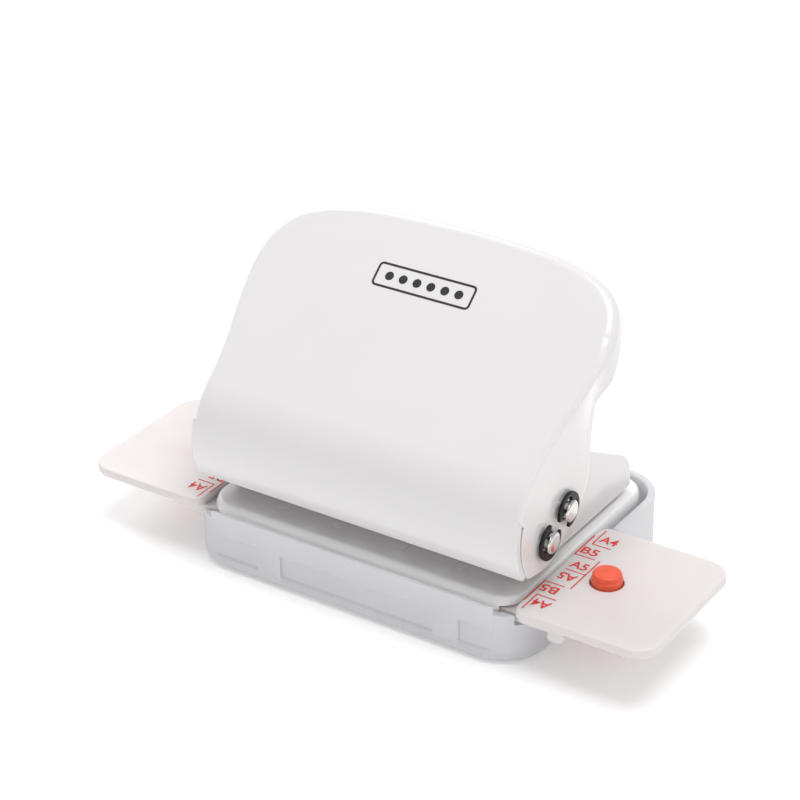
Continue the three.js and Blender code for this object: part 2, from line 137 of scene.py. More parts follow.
def flatten(piece):
    """Joins coplanar triangles into whole faces, so that edges can be rounded."""
    work = bmesh.new()
    work.from_mesh(piece.data)
    bmesh.ops.remove_doubles(work, verts=work.verts, dist=1e-6)
    bmesh.ops.dissolve_limit(work, angle_limit=math.radians(1), verts=work.verts, edges=work.edges)
    work.to_mesh(piece.data)
    work.free()


def smooth(piece, angle=35):
    piece.data.shade_smooth()
    piece.data.set_sharp_from_angle(angle=math.radians(angle))
    step = piece.modifiers.new("shade", "WEIGHTED_NORMAL")
    step.keep_sharp = True
    apply_modifiers(piece)


def combine(piece, tool, operation):
    step = piece.modifiers.new("combine", "BOOLEAN")
    step.operation = operation
    step.object = tool
    step.solver = "EXACT"
    apply_modifiers(piece)
    bpy.data.objects.remove(tool)


def cut(piece, *tools):
    for tool in tools:
        combine(piece, tool, "DIFFERENCE")


def join(piece, *tools):
    for tool in tools:
        combine(piece, tool, "UNION")


def box(x0, x1, y0, y1, z0, z1, name="box"):
    points = [(x, y, z) for x in (x0, x1) for y in (y0, y1) for z in (z0, z1)]
    faces = [(0, 1, 3, 2), (4, 6, 7, 5), (0, 4, 5, 1), (2, 3, 7, 6), (0, 2, 6, 4), (1, 5, 7, 3)]
    return make(name, points, faces)


def rings_to_solid(name, rings):
    """Joins equal rings of points in order, and closes the first and the last."""
    count = len(rings[0])
    vertices = [point for ring in rings for point in ring]
    faces = []
    for k in range(len(rings) - 1):
        for i in range(count):
            j = (i + 1) % count
            faces.append((k * count + i, k * count + j, (k + 1) * count + j, (k + 1) * count + i))
    faces.append(tuple(range(count))[::-1])
    faces.append(tuple((len(rings) - 1) * count + i for i in range(count)))
    return make(name, vertices, faces)


def lathe(name, profile, centre, axis="Z", segments=48):
    """Turns a profile of (radius, height) round an axis through centre."""
    rings = []
    for radius, height in profile:
        ring = []
        for k in range(segments):
            turn = 2 * math.pi * k / segments
            u, v = max(radius, 1e-4) * math.cos(turn), max(radius, 1e-4) * math.sin(turn)
            point = (u, v, height) if axis == "Z" else (height, u, v)
            ring.append(Vector(point) + Vector(centre))
        rings.append(ring)
    return rings_to_solid(name, rings)


def arc(cx, cy, radius, start, end, steps):
    return [
        (cx + radius * math.cos(math.radians(a)), cy + radius * math.sin(math.radians(a)))
        for a in np.linspace(start, end, steps + 1)
    ]


def rounded(x0, x1, y0, y1, radii, steps=12):
    """Outline of a rectangle whose corner radii are given from the low left one round."""
    low_left, low_right, high_right, high_left = radii
    return (
        arc(x1 - low_right, y0 + low_right, low_right, -90, 0, steps)
        + arc(x1 - high_right, y1 - high_right, high_right, 0, 90, steps)
        + arc(x0 + high_left, y1 - high_left, high_left, 90, 180, steps)
        + arc(x0 + low_left, y0 + low_left, low_left, 180, 270, steps)
    )


def prism(name, outline, low, high, along="Z"):
    """Pushes an outline along Z, or an outline drawn in Y and Z along X."""
    if along == "Z":
        rings = [[(u, v, w) for u, v in outline] for w in (low, high)]
    else:
        rings = [[(w, u, v) for u, v in outline] for w in (low, high)]
    return rings_to_solid(name, rings)


def drawn_shell(name, half, front, back, corner, levels, steps=14, side_share=1):
    """Rings of a rounded rectangle, each pulled in by its own inset, at its own height."""
    rings = []
    for inset, z in levels:
        radius = max(corner - inset, 0.3)
        x = half - inset * side_share
        outline = rounded(-x, x, front + inset, back - inset, [radius] * 4, steps)
        rings.append([(x, y, z) for x, y in outline])
    return rings_to_solid(name, rings)


def from_cad(node, name=None, width=0.2):
    """A copy of a CAD node with its edges rounded."""
    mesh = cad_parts[node].data.copy()
    piece = bpy.data.objects.new(name or f"{node}_shown", mesh)
    bpy.context.scene.collection.objects.link(piece)
    flatten(piece)
    bevel(piece, width, segments=2)
    smooth(piece)
    return piece


def settle(piece, body, material, slot, *nodes):
    """Gives a finished piece its material, its body and the CAD nodes that it stands for."""
    piece.data.materials.clear()
    piece.data.materials.append(material)
    for face in piece.data.polygons:
        face.material_index = 0
    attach(piece, body)
    if nodes:
        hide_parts(*nodes)
    return piece


# ---- materials ----


class Shader:
    """A node material round one Principled shader."""

    def __init__(self, name, **sockets):
        self.material = bpy.data.materials.new(name)
        self.material.use_nodes = True
        self.tree = self.material.node_tree
        self.shader = next(n for n in self.tree.nodes if n.type == "BSDF_PRINCIPLED")
        for socket, value in sockets.items():
            self.shader.inputs[socket.replace("_", " ")].default_value = value
        self.place = self.add("ShaderNodeTexCoord").outputs["Object"]
        self.bumps = None

    def add(self, kind, **settings):
        node = self.tree.nodes.new(kind)
        for key, value in settings.items():
            setattr(node, key, value)
        return node

    def link(self, source, target):
        self.tree.links.new(source, target)

    def noise(self, scale, detail=3, roughness=0.55, stretch=None):
        """Noise whose scale is in cycles per metre."""
        node = self.add("ShaderNodeTexNoise")
        node.inputs["Scale"].default_value = scale
        node.inputs["Detail"].default_value = detail
        node.inputs["Roughness"].default_value = roughness
        source = self.place
        if stretch:
            mapping = self.add("ShaderNodeMapping")
            mapping.inputs["Scale"].default_value = stretch
            self.link(source, mapping.inputs["Vector"])
            source = mapping.outputs["Vector"]
        self.link(source, node.inputs["Vector"])
        return node.outputs["Fac"]

    def spread(self, source, low, high):
        node = self.add("ShaderNodeMapRange")
        node.inputs["From Min"].default_value = 0.3
        node.inputs["From Max"].default_value = 0.7
        node.inputs["To Min"].default_value = low
        node.inputs["To Max"].default_value = high
        self.link(source, node.inputs["Value"])
        return node.outputs["Result"]

    def tint(self, source, first, second):
        node = self.add("ShaderNodeMix", data_type="RGBA")
        node.inputs["A"].default_value = (*first, 1)
        node.inputs["B"].default_value = (*second, 1)
        self.link(self.spread(source, 0, 1), node.inputs["Factor"])
        self.link(node.outputs["Result"], self.shader.inputs["Base Color"])
        return self

    def rough(self, source, low, high):
        self.link(self.spread(source, low, high), self.shader.inputs["Roughness"])
        return self

    def bump(self, source, height, strength=1.0):
        """Adds a bump whose height is in millimetres."""
        node = self.add("ShaderNodeBump")
        node.inputs["Strength"].default_value = strength
        node.inputs["Distance"].default_value = height * MM
        self.link(source, node.inputs["Height"])
        if self.bumps:
            self.link(self.bumps, node.inputs["Normal"])
        self.bumps = node.outputs["Normal"]
        self.link(self.bumps, self.shader.inputs["Normal"])
        return self


def painted_steel(name, base, gloss):
    """Glossy powder coat: faint orange peel, and a slow drift of tone and gloss."""
    paint = Shader(name, Specular_IOR_Level=0.5, Coat_Weight=0.4, Coat_Roughness=0.06)
    darker = tuple(c * 0.985 for c in base)
    paint.tint(paint.noise(60, 2), darker, base)
    paint.rough(paint.noise(90, 2), gloss - 0.02, gloss + 0.03)
    paint.bump(paint.noise(420, 1, 0.4), 0.003)
    paint.bump(paint.noise(3000, 1, 0.4), 0.0004)
    return paint.material


def bright_metal(name, base, gloss, grain):
    """Bare or plated steel with fine drawn lines along grain."""
    metal = Shader(name, Metallic=1.0)
    metal.tint(metal.noise(300, 3, 0.6, grain), tuple(c * 0.86 for c in base), base)
    metal.rough(metal.noise(900, 4, 0.6, grain), gloss * 0.7, gloss * 1.4)
    metal.bump(metal.noise(2600, 2, 0.5, grain), 0.0015)
    return metal.material


white_paint = painted_steel("white_paint", (0.785, 0.77, 0.77), 0.24)
# Painted light: a lighter copy of white_paint for the pan and its rivets. The pan has the same white paint
# as the handle, and this copy is brighter so that its shaded deck and front roll look lit.
pan_paint_painted_light = painted_steel("pan_paint_painted_light", (0.93, 0.92, 0.92), 0.24)
nickel_steel = bright_metal("nickel_steel", (0.72, 0.70, 0.67), 0.18, (1, 1, 1))
tool_steel = bright_metal("tool_steel", (0.50, 0.50, 0.51), 0.3, (1, 1, 0.1))
spring_steel = bright_metal("spring_steel", (0.46, 0.46, 0.48), 0.26, (1, 1, 1))

black = Shader("black_steel", Metallic=0.7, Specular_IOR_Level=0.5)
black.tint(black.noise(1500, 3), (0.012, 0.012, 0.013), (0.03, 0.03, 0.032))
black.rough(black.noise(2500, 3), 0.3, 0.5)
black.bump(black.noise(4000, 2), 0.002)
black_steel = black.material

milky = Shader(
    "milky_plastic",
    Subsurface_Weight=0.35,
    Subsurface_Scale=0.002,
    Subsurface_Radius=(1.0, 0.85, 0.8),
    IOR=1.49,
)
milky.tint(milky.noise(40, 2), (0.70, 0.66, 0.655), (0.74, 0.70, 0.695))
milky.rough(milky.noise(300, 3), 0.36, 0.46)
milky.bump(milky.noise(6000, 2), 0.0025)
milky_plastic = milky.material

frost = Shader("frosted_plastic", Transmission_Weight=0.38, IOR=1.45, Specular_IOR_Level=0.45)
frost.tint(frost.noise(50, 2), (0.90, 0.90, 0.93), (0.93, 0.93, 0.955))
frost.rough(frost.noise(500, 3), 0.38, 0.5)
frost.bump(frost.noise(7000, 2), 0.004)
frosted_plastic = frost.material

coral = Shader("coral_plastic", Subsurface_Weight=0.15, Subsurface_Scale=0.001, IOR=1.5)
coral.tint(coral.noise(400, 2), (0.86, 0.095, 0.04), (0.93, 0.135, 0.06))
coral.rough(coral.noise(900, 2), 0.3, 0.4)
coral.bump(coral.noise(6000, 2), 0.002)
coral_plastic = coral.material

red = Shader("red_ink", IOR=1.45)
red.tint(red.noise(2500, 3), (0.66, 0.03, 0.025), (0.76, 0.06, 0.045))
red.rough(red.noise(3000, 2), 0.45, 0.6)
red_ink = red.material

grey = Shader("grey_ink", IOR=1.45)
grey.tint(grey.noise(2500, 3), (0.018, 0.017, 0.019), (0.035, 0.033, 0.036))
grey.rough(grey.noise(3000, 2), 0.35, 0.5)
grey_ink = grey.material

# ---- handle ----
along = Vector((math.cos(tilt), math.sin(tilt)))
outward = Vector((-math.sin(tilt), math.cos(tilt)))
bend_start = Vector((nose_y, nose_z)) + outward * nose_radius
nose_length = nose_radius * (math.pi / 2 - tilt - nose_end)


def curve_through(points, steps):
    """A smooth curve through every point."""
    points = [Vector(p) for p in points]
    out = []
    for i in range(len(points) - 1):
        a = points[max(i - 1, 0)]
        b, c = points[i], points[i + 1]
        d = points[min(i + 2, len(points) - 1)]
        for k in range(steps):
            t = k / steps
            square = 2 * a - 5 * b + 4 * c - d
            cube = 3 * b - a - 3 * c + d
            out.append(0.5 * ((2 * b) + (c - a) * t + square * t * t + cube * t**3))
    out.append(points[-1])
    return out


def quadratic(a, b, c, steps):
    a, b, c = Vector(a), Vector(b), Vector(c)
    return [a * (1 - t) ** 2 + b * 2 * t * (1 - t) + c * t * t for t in np.linspace(0, 1, steps + 1)]


half_widths = [
    (neck_half + 0.1, -24),
    (neck_half + 0.1, -10),
    (neck_half, 0),
    (neck_half + 0.2, 5),
    (neck_half + 0.8, panel_length - 31),
    (neck_half + 1.6, panel_length - 26.8),
    (flare_half - 0.65, panel_length - 21),
    (flare_half, panel_length - 16),
    (flare_half - 0.2, panel_length - 13),
    (flare_half - 1.2, panel_length - 9.8),
    (flare_half - 2.6, panel_length - 7.2),
    (flare_half - 5.1, panel_length - 4.7),
    (flare_half - 8.2, panel_length - 3.1),
    (flare_half - 12, panel_length - 1.9),
    (flare_half - 21, panel_length - 0.5),
    (0, panel_length),
]
mirror_start = (-half_widths[-2][0], half_widths[-2][1])
front_edge = curve_through(half_widths + [mirror_start], 24)[: 24 * (len(half_widths) - 1) + 1]
edge_x = np.array([p.x for p in front_edge])
edge_y = np.array([p.y for p in front_edge])


def half_at(y):
    return float(np.interp(y, edge_y, edge_x))


def panel_point(t):
    """Point of the panel's outer face in Y and Z, t from the bend: up the flat, or down round the nose."""
    if t >= 0:
        return bend_start + along * t
    angle = math.pi / 2 + tilt - t / nose_radius
    return Vector((nose_y + nose_radius * math.cos(angle), nose_z + nose_radius * math.sin(angle)))


def height_on_panel(point):
    return (Vector(point) - bend_start).dot(along)


tip = panel_point(panel_length)
lip_end = tip - outward * lip_depth
inside = nose_radius - sheet
ear_edge = curve_through(
    [
        lip_end,
        (17.9, deck + 42.6),
        (13.9, deck + 38.9),
        (11.6, deck + 34.5),
        (10, deck + 28.4),
        (8.8, deck + 22),
        (8.3, deck + 14.6),
    ],
    16,
)
ear_edge += quadratic((8.3, deck + 14.6), (8.1, deck + 12.4), (6.2, deck + 11), 8)[1:]
ear_edge += [Vector((pivot.y + 3.5, pivot.z - 4.5))]
ear_edge += quadratic(ear_edge[-1], (pivot.y + 1.6, pivot.z - 5.5), (pivot.y - 1.3, pivot.z - 5.3), 8)[1:]
ear_edge += [Vector((nose_y - 9.2, deck + 3.9))]


def reach(start, direction):
    """Distance from start along direction to the ear's free edge, and how far round the edge that is."""
    best = (1e9, 0)
    travelled = 0
    for a, b in zip(ear_edge, ear_edge[1:]):
        span = b - a
        bottom = direction.x * span.y - direction.y * span.x
        if abs(bottom) > 1e-9:
            offset = a - start
            distance = (offset.x * span.y - offset.y * span.x) / bottom
            part = (offset.x * direction.y - offset.y * direction.x) / bottom
            if -1e-6 <= part <= 1 + 1e-6 and 0 < distance < best[0]:
                best = (distance, travelled + part * span.length)
        travelled += span.length
    return best


def edge_point(distance):
    for a, b in zip(ear_edge, ear_edge[1:]):
        span = (b - a).length
        if distance <= span:
            return a.lerp(b, distance / span)
        distance -= span
    return ear_edge[-1]


slit_start = -nose_radius * (math.pi / 2 - tilt - math.asin((slit_top - nose_z) / (nose_radius - sheet)))
ear_length = sum((b - a).length for a, b in zip(ear_edge, ear_edge[1:]))
bend_edge_at = reach(panel_point(0), -outward)[1]


def ease(value, start, end):
    share = min(max((value - start) / (end - start), 0), 1)
    return share * share * (3 - 2 * share)


def bend_radius(t):
    """Tight along the ears, softer round the flare and the top edge."""
    return 1.05 + 1.35 * ease(t, 19, 30)


def ear_x(t, x):
    """How far out the ear's free edge lies: in line with the neck, but with the flare near the top."""
    if t < 0:
        return x
    tucked = min(x, neck_half + 0.1)
    return tucked + (x - tucked) * ease(t, 18.3, 23.5)


def handle_surface():
    """The sheet's outer face: ear, bend, panel, bend, ear, row by row from the nose to the tip."""
    nose_t = [-nose_length * (1 - k / 36) for k in range(37)]
    nose_t = sorted(nose_t + [slit_start - 0.05, slit_start + 0.05])
    start = next(i for i, y in enumerate(edge_y) if y > 0.05)
    rows = [(t, None) for t in nose_t] + [(edge_y[i], i) for i in range(start, len(front_edge) - 1)]
    across, round_steps, ear_steps = 30, 7, 16
    vertices = []
    for t, index in rows:
        point = panel_point(t)
        if index is None:
            x = half_at(height_on_panel(point))
            inward = Vector((-1, 0))
        else:
            x = edge_x[index]
            before, after = front_edge[index - 1], front_edge[index + 1]
            tangent = (after - before).normalized()
            inward = Vector((-tangent.y, tangent.x))
        if t >= 0:
            depth = -outward
            length = lip_depth if t > panel_length - 0.3 else reach(point, depth)[0]
        else:
            share = -t / nose_length
            target = edge_point(bend_edge_at + (ear_length - bend_edge_at) * share)
            depth = (target - point).normalized()
            length = (target - point).length
        normal = (Vector((nose_y, nose_z)) - point).normalized() if t < 0 else -outward
        lean = max(depth.dot(normal), 0.4)
        radius = min(bend_radius(t), 0.6 * length * lean)
        slit = t < slit_start
        near = sheet + slit_gap if slit else radius / lean
        side = []
        for k in range(ear_steps):
            d = near + (length - near) * (1 - k / (ear_steps - slit))
            place = point + depth * d
            share = ease(d / length, 0, 1)
            side.append((x + (ear_x(t, x) - x) * share, place.x, place.y))
        for k in range(round_steps + 1):
            if slit:
                side.append((x - radius * k / round_steps, point.x, point.y))
                continue
            angle = math.pi / 2 * (1 - k / round_steps)
            inset = radius * (1 - math.sin(angle))
            drop = radius * (1 - math.cos(angle)) / lean
            place = panel_point(t + inward.y * inset) + depth * drop
            side.append((x + inward.x * inset, place.x, place.y))
        inner_x = side[-1][0]
        flat = [(inner_x * (1 - 2 * k / across), side[-1][1], side[-1][2]) for k in range(1, across)]
        other = [(-a, b, c) for a, b, c in reversed(side)]
        vertices.append(side + flat + other)
    columns = len(vertices[0])
    faces = []
    for r in range(len(vertices) - 1):
        for c in range(columns - 1):
            if rows[r][0] < slit_start and c in (ear_steps - 1, columns - 1 - ear_steps):
                continue
            a = r * columns + c
            faces.append((a, a + 1, a + columns + 1, a + columns))
    last = (len(vertices) - 1) * columns
    bend_end = ear_steps + round_steps
    for c in range(bend_end - 1):
        a, b = last + c, last + columns - 1 - c
        faces.append((a, a + 1, b - 1, b))
    faces.append(tuple(range(last + bend_end - 1, last + columns - bend_end + 1)))
    return make("handle_shell", [v for row in vertices for v in row], faces)


def handle_piece():
    shell = handle_surface()
    work = bmesh.new()
    work.from_mesh(shell.data)
    lowest_front = min(work.faces, key=lambda f: f.calc_center_median().y)
    if lowest_front.normal.y > 0:
        bmesh.ops.reverse_faces(work, faces=work.faces)
    work.to_mesh(shell.data)
    work.free()
    thick = shell.modifiers.new("sheet", "SOLIDIFY")
    thick.thickness = sheet * MM
    thick.offset = -1
    thick.use_even_offset = True
    apply_modifiers(shell)
    bevel(shell, 0.22, segments=2, angle=55)
    for centre in (pivot, rod):
        hole = arc(centre.y, centre.z, pin_radius + fit, 0, 345, 23)
        for side in (-1, 1):
            ends = sorted((side * 25, side * 45))
            cut(shell, prism("hole", hole, *ends, along="X"))
    smooth(shell, 40)
    return shell


settle(handle_piece(), "handle", white_paint, "white_paint", "handle")


def pictogram():
    """A sheet with a row of six holes, printed on the panel."""
    half_x, half_y, line, thick = 10.2, 2.4, 0.42, 0.03
    outer = rounded(-half_x, half_x, -half_y, half_y, [0.9] * 4, 6)
    inner = rounded(-half_x + line, half_x - line, -half_y + line, half_y - line, [0.5] * 4, 6)
    sheet_mark = prism("pictogram", outer, 0, thick)
    cut(sheet_mark, prism("inside", inner, -1, 1))
    for k in range(6):
        x = (k - 2.5) * 2.9
        join(sheet_mark, prism("dot", arc(x, 0, 0.85, 0, 350, 35), 0, thick))
    centre = panel_point(28.2)
    flat_to_panel = Matrix(
        (
            (1, 0, 0, -1.3 * MM),
            (0, along.x, outward.x, centre.x * MM),
            (0, along.y, outward.y, centre.y * MM),
            (0, 0, 0, 1),
        )
    )
    sheet_mark.data.transform(flat_to_panel)
    return sheet_mark


settle(pictogram(), "handle", grey_ink, "white_paint")

# ---- chip tray ----
tray_low, tray_high = corners("chip_tray")
tray_half, tray_front, tray_back, tray_rim = tray_high.x, tray_low.y, tray_high.y, tray_high.z
tray_corner, tray_wall, tray_floor = 9, 1.4, 1.3
tray_windows = ((-31, -19.5), (-14.5, 18), (23.2, 31))


def quarter(inset, radius, z, rise, steps=6):
    """Insets and heights of a rolled edge: rise 1 starts flat below, rise -1 ends flat above."""
    out = []
    for k in range(steps + 1):
        turn = math.pi / 2 * k / steps
        out.append((inset + radius * (1 - math.sin(turn)), z + rise * radius * (1 - math.cos(turn))))
    return out if rise > 0 else out[::-1]


def tray_piece():
    levels = quarter(0, 1.7, 0, 1, 7) + [(0, tray_rim - 0.3), (0.12, tray_rim - 0.08), (0.35, tray_rim)]
    tray = drawn_shell("tray", tray_half, tray_front, tray_back, tray_corner, levels, 20)
    inside = quarter(tray_wall, 1.2, tray_floor, 1, 6) + [(tray_wall, tray_rim - 0.3)]
    inside += [(tray_wall - 0.2, tray_rim), (tray_wall - 0.2, tray_rim + 1)]
    cut(tray, drawn_shell("cavity", tray_half, tray_front, tray_back, tray_corner, inside, 20))
    plate_low, plate_high = corners("guide_plate_right")
    gap = plate_high.y + 0.5
    cut(tray, box(-60, 60, -gap, gap, deck - 2.15, deck + 5))
    cut(tray, box(-60, 60, -14.6, 14.6, deck - 4.1, deck + 5))
    for side in (-1, 1):
        x0, x1 = sorted((side * (tray_half - 5.4), side * (tray_half - tray_wall + 0.5)))
        for y0, y1 in ((-11, -6.5), (18.5, 23)):
            join(tray, box(x0, x1, y0, y1, tray_floor - 0.5, deck - 5.8))
    for x0, x1 in tray_windows:
        depth = 0.45
        window = [(tray_front - 1, 2.2), (tray_front, 2.3), (tray_front + depth, 2.75)]
        window += [(tray_front + depth, 6.6), (tray_front, 7.1), (tray_front - 1, 7.2)]
        cut(tray, prism("window", window, x0, x1, along="X"))
    flatten(tray)
    bevel(tray, 0.12, segments=2, angle=30)
    smooth(tray, 32)
    return tray


settle(tray_piece(), "tray", frosted_plastic, "frosted_plastic", "chip_tray")

# ---- base pan ----
pan_low, pan_high = corners("base_pan")
pan_half, pan_front, pan_back = pan_high.x, pan_low.y, pan_high.y
pan_corner, pan_sheet, pan_skirt, pan_roll = 6, 1.2, 5.5, 2
punch_x = [(k - 2.5) * pitch for k in range(6)]
punch_radius = 2.7
foot_slot_half = 22.3
foot_slot_y = (-7.7, -5.9)
rivet_x = [-19, -6.5, 6.5, 19]
rivet_radius = 0.8
rivet_head = 1.2
rivet_y = corners("foot_rivet_1")[0].y + rivet_head + 0.2
screw_x = 28.6
side_rivet_head = 1.9


def upright(x, y, z0, z1, radius, segments=40):
    return prism("upright", arc(x, y, radius, 0, 360 - 360 / segments, segments - 1), z0, z1)


def pan_piece():
    bottom = deck - pan_skirt
    outside = [(0, bottom)] + quarter(0, pan_roll, deck, -1, 10)
    pan = drawn_shell("pan", pan_half, pan_front, pan_back, pan_corner, outside, 20, side_share=0.35)
    under = [(pan_sheet, bottom - 1)] + quarter(pan_sheet, pan_roll - 0.9, deck - pan_sheet, -1, 6)
    cut(pan, drawn_shell("under", pan_half, pan_front, pan_back, pan_corner, under, 20))
    cut(pan, box(-60, 60, 24, 60, bottom - 1, deck - 2.2))
    for end in (-1, 1):
        y0, y1 = sorted((end * 7.6, end * 14.4))
        cut(pan, box(-60, 60, y0, y1, deck - 4, deck - pan_sheet - 0.2))
    for x in punch_x:
        cut(pan, upright(x, 0, deck - 3, deck + 1, punch_radius + fit))
    for x in rivet_x:
        cut(pan, upright(x, rivet_y, deck - 3, deck + 1, 1.1, 24))
    for x in (-screw_x, screw_x):
        cut(pan, upright(x, 0, deck - 3, deck + 1, 1.2, 24))
    cut(pan, box(-foot_slot_half, foot_slot_half, *foot_slot_y, deck - 3, deck + 1))
    flatten(pan)
    bevel(pan, 0.18, segments=2, angle=40)
    smooth(pan, 32)
    return pan


# The pan gets the lighter copy of the white paint: painted light on its shaded deck and front roll.
settle(pan_piece(), "base", pan_paint_painted_light, "white_paint", "base_pan")

# ---- guide frame, top guide and die strip ----
settle(from_cad("guide_frame", width=0.25), "base", white_paint, "white_paint", "guide_frame")
settle(from_cad("top_guide", width=0.15), "base", nickel_steel, "nickel_steel", "top_guide")
settle(from_cad("die_strip", width=0.1), "base", tool_steel, "tool_steel", "die_strip")

# ---- rivets and screws ----


def dome(radius, z, height, up, steps=7):
    """Profile of a rounded head that starts at its rim and ends on the axis."""
    out = [(radius, z)]
    for k in range(1, steps + 1):
        turn = math.pi / 2 * k / steps
        out.append((radius * math.cos(turn), z + up * height * math.sin(turn)))
    return out


for k, x in enumerate(rivet_x):
    low, high = (c.z for c in corners(f"foot_rivet_{k + 1}"))
    profile = dome(rivet_head + 0.2, low + 0.3, 0.3, -1)[::-1]
    profile += [(rivet_head + 0.2, low + 0.6), (rivet_radius, low + 0.6), (rivet_radius, high - 0.45)]
    profile += [(rivet_head, high - 0.45)] + dome(rivet_head, high - 0.4, 0.15, 1)
    piece = lathe(f"foot_rivet_{k + 1}_shown", profile, (x, rivet_y, 0))
    smooth(piece, 50)
    # The rivet heads get the pan's lighter copy of the white paint, which is painted light.
    settle(piece, "base", pan_paint_painted_light, "white_paint", f"foot_rivet_{k + 1}")

for name, side in SIDES:
    low, high = corners(f"guide_rivet_{name}")
    inner, outer = (low.x, high.x) if side > 0 else (-high.x, -low.x)
    profile = dome(side_rivet_head, inner + 0.35, 0.35, -1)[::-1]
    profile += [(side_rivet_head, inner + 0.6), (1, inner + 0.6), (1, outer - 0.4)]
    profile += [(side_rivet_head, outer - 0.4)] + dome(side_rivet_head, outer - 0.3, 0.3, 1)
    profile = [(radius, side * x) for radius, x in profile]
    piece = lathe(f"guide_rivet_{name}_shown", profile, (0, 0, side_rivet_z), axis="X")
    smooth(piece, 50)
    settle(piece, "base", nickel_steel, "nickel_steel", f"guide_rivet_{name}")

    low, high = (c.z for c in corners(f"die_screw_{name}"))
    profile = [(0, low), (1.6, low), (1.85, low + 0.12), (2, low + 0.35), (2, low + 1), (0.9, low + 1)]
    profile += [(0.9, high - 0.25), (0.7, high), (0, high)]
    piece = lathe(f"die_screw_{name}_shown", profile, (side * screw_x, 0, 0))
    for half_x, half_y in ((1.2, 0.25), (0.25, 1.2)):
        x = side * screw_x
        cut(piece, box(x - half_x, x + half_x, -half_y, half_y, low - 0.5, low + 0.4))
    smooth(piece, 40)
    settle(piece, "base", nickel_steel, "nickel_steel", f"die_screw_{name}")

# ---- pivot pin, pressure rod and their clips ----
groove_radius, clip_radius, clip_thick = pin_radius - 0.5, 3.4, 0.6
clip_x = corners("pivot_clip_right")[0].x
pivot_mouth = 0.9
journal_inner = 29.8


def pin_piece(name, centre, waist):
    end = corners(name)[1].x
    groove_start, groove_end = clip_x - fit, clip_x + clip_thick + fit
    half = [(waist, journal_inner), (pin_radius - 0.1, journal_inner), (pin_radius, journal_inner + 0.1)]
    half += [(pin_radius, groove_start - 0.1), (pin_radius - 0.1, groove_start)]
    half += [(groove_radius, groove_start), (groove_radius, groove_end)]
    half += [(pin_radius - 0.1, groove_end), (pin_radius, groove_end + 0.1)]
    half += [(pin_radius, end - 0.4), (pin_radius - 0.1, end - 0.25), (pin_radius - 0.32, end - 0.1)]
    half += [(pin_radius - 0.7, end - 0.02), (0, end)]
    profile = [(radius, -x) for radius, x in half[::-1]] + half
    piece = lathe(f"{name}_shown", profile, (0, centre.y, centre.z), axis="X")
    smooth(piece, 40)
    return piece


def clip_piece(name, centre, opening, side):
    """An E-clip: a ring open at one side, with three prongs that reach into the groove."""
    hold = groove_radius + fit
    mouth = math.degrees(0.62)
    wide = hold + 0.8
    lip_u = 0.93 * clip_radius * math.cos(math.radians(mouth))
    lip_v = 0.93 * clip_radius * math.sin(math.radians(mouth))
    shape = arc(0, 0, clip_radius, mouth + 3, 360 - mouth - 3, 60)
    shape += [(lip_u, -lip_v)]
    shape += arc(0, 0, hold, -mouth - 17, -mouth - 43, 6)
    shape += arc(0, 0, wide, -mouth - 54, -154, 12)
    shape += arc(0, 0, hold, -166, -194, 6)
    shape += arc(0, 0, wide, -206, -360 + mouth + 54, 12)
    shape += arc(0, 0, hold, -360 + mouth + 43, -360 + mouth + 17, 6)
    shape += [(lip_u, lip_v)]
    turn = Matrix.Rotation(opening, 2)
    outline = [tuple(turn @ Vector(p) + Vector((centre.y, centre.z))) for p in shape]
    x0, x1 = sorted((side * clip_x, side * (clip_x + clip_thick)))
    piece = prism(name, outline, x0, x1, along="X")
    bevel(piece, 0.12, segments=3, angle=50)
    smooth(piece, 40)
    return piece


settle(pin_piece("pivot_pin", pivot, pin_radius - 0.2), "base", nickel_steel, "nickel_steel", "pivot_pin")
settle(pin_piece("pressure_rod", rod, rod_waist), "handle", nickel_steel, "nickel_steel", "pressure_rod")
for name, side in SIDES:
    for kind, centre, opening, body in (
        ("pivot", pivot, pivot_mouth, "base"),
        ("rod", rod, pivot_mouth + math.pi, "handle"),
    ):
        node = f"{kind}_clip_{name}"
        settle(clip_piece(f"{node}_shown", centre, opening, side), body, black_steel, "black_steel", node)

# ---- punches and springs ----
collar_radius = 3.45


def punch_piece(index, x):
    low, high = corners(f"punch_{index}")
    collar_top = rod.z - rod_waist - 0.4
    tip_z, top = low.z, high.z
    profile = [(0, tip_z + 0.5), (punch_radius - 0.9, tip_z + 0.5), (punch_radius - 0.75, tip_z + 0.2)]
    collar_low = collar_top - 0.8
    profile += [(punch_radius - 0.06, tip_z), (punch_radius, tip_z + 0.06), (punch_radius, collar_low)]
    profile += [(collar_radius - 0.1, collar_low), (collar_radius, collar_low + 0.1)]
    profile += [(collar_radius, collar_top - 0.1), (collar_radius - 0.1, collar_top)]
    profile += [(punch_radius, collar_top)]
    profile += [(punch_radius, top - 0.35), (punch_radius - 0.35, top), (0, top)]
    piece = lathe(f"punch_{index}_shown", profile, (x, 0, 0), segments=40)
    half = rod_waist + 0.2
    cut(piece, box(x - 6, x + 6, rod.y - rod_waist - fit, 8, rod.z - half, rod.z + half))
    smooth(piece, 40)
    return piece


def spring_piece(index, x):
    low, high = corners(f"punch_spring_{index}")
    wire, sides_round, turns, steps = 0.2, 8, 6.5, 260
    radius = high.x - x - wire
    bottom, top = low.z + wire, high.z - wire
    rings = []
    for k in range(steps + 1):
        share = k / steps
        turn = 2 * math.pi * turns * share
        eased = min(max((share * turns - 0.75) / (turns - 1.5), 0), 1)
        rise = bottom + (top - bottom) * eased
        centre = Vector((x + radius * math.cos(turn), radius * math.sin(turn), rise))
        spoke = Vector((math.cos(turn), math.sin(turn), 0))
        ring = []
        for j in range(sides_round):
            around = 2 * math.pi * j / sides_round
            ring.append(centre + wire * (spoke * math.cos(around) + Vector((0, 0, 1)) * math.sin(around)))
        rings.append(ring)
    piece = rings_to_solid(f"punch_spring_{index}_shown", rings)
    smooth(piece, 60)
    return piece, low.z


